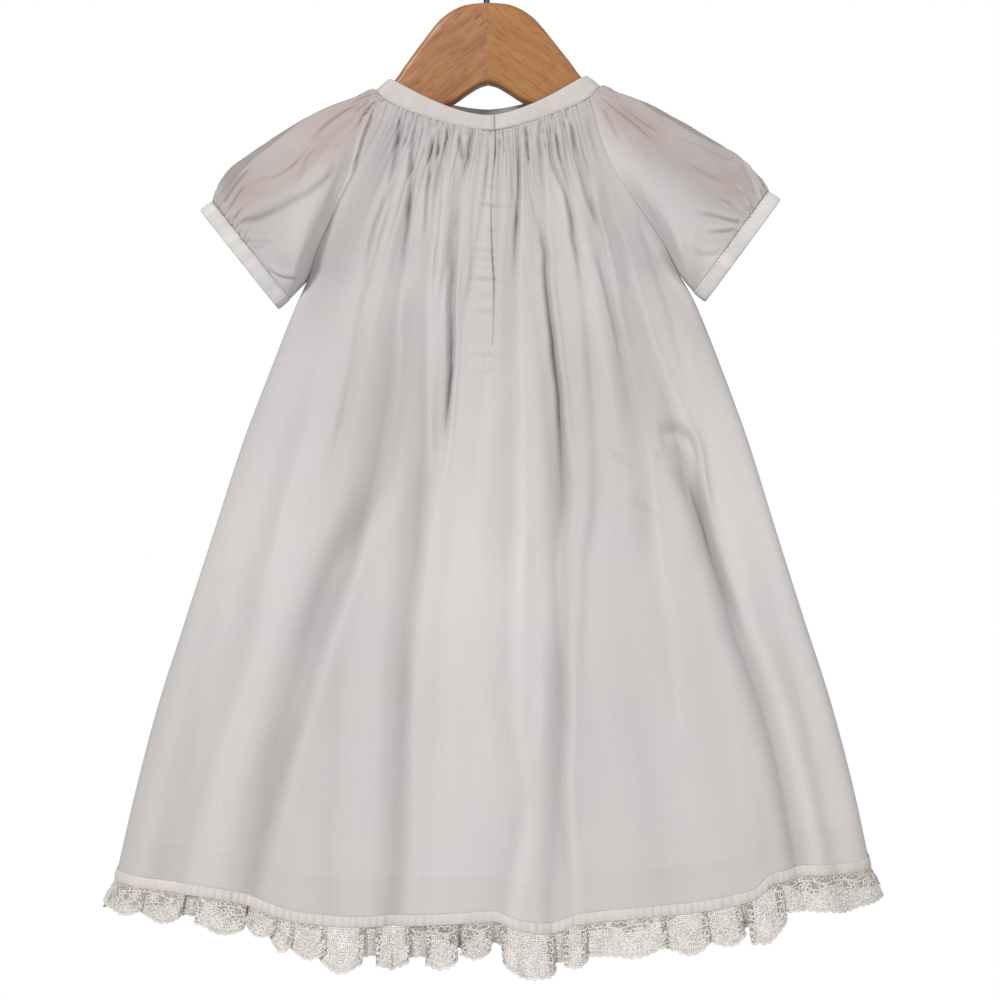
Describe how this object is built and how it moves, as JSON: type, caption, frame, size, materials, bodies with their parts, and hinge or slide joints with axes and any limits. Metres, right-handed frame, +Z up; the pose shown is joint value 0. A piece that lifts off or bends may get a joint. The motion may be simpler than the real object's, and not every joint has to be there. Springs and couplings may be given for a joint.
{
  "type": "toddler dress on a clothes hanger",
  "caption": "Gathered toddler dress with raglan puff sleeves, a back slit and a lace hem, hanging on a wooden child's hanger.",
  "frame": {"origin": "the point inside the top of the hook that rests on a rail", "axes": "+Z up along the hook's shank, +X towards the right sleeve as seen from the slit side, -Y out of the slit side of the dress"},
  "size_m": [0.4289, 0.0994, 0.6011],
  "materials": {
    "batiste": "white cotton batiste, matt, fine plain weave",
    "sleeve_batiste": "white cotton batiste, matt, slightly see-through",
    "band_batiste": "folded white cotton batiste, matt",
    "lace": "ecru cotton net lace with a scalloped edge",
    "pink_wood": "satin varnish, pinkish grain",
    "gold_wood": "satin varnish, golden grain",
    "dark_wire": "dark oxidised wire"
  },
  "bodies": {
    "root": {"back_panel": "batiste", "front_panel": "batiste", "sleeve_left": "sleeve_batiste", "sleeve_right": "sleeve_batiste", "neckband": "band_batiste", "cuff_left": "band_batiste", "cuff_right": "band_batiste", "placket_strip": "band_batiste", "hem_band_back": "band_batiste", "hem_band_front": "band_batiste", "lace_back": "lace", "lace_front": "lace", "hanger_left": "pink_wood", "hanger_right": "gold_wood", "hook": "dark_wire"}
  },
  "joints": []
}
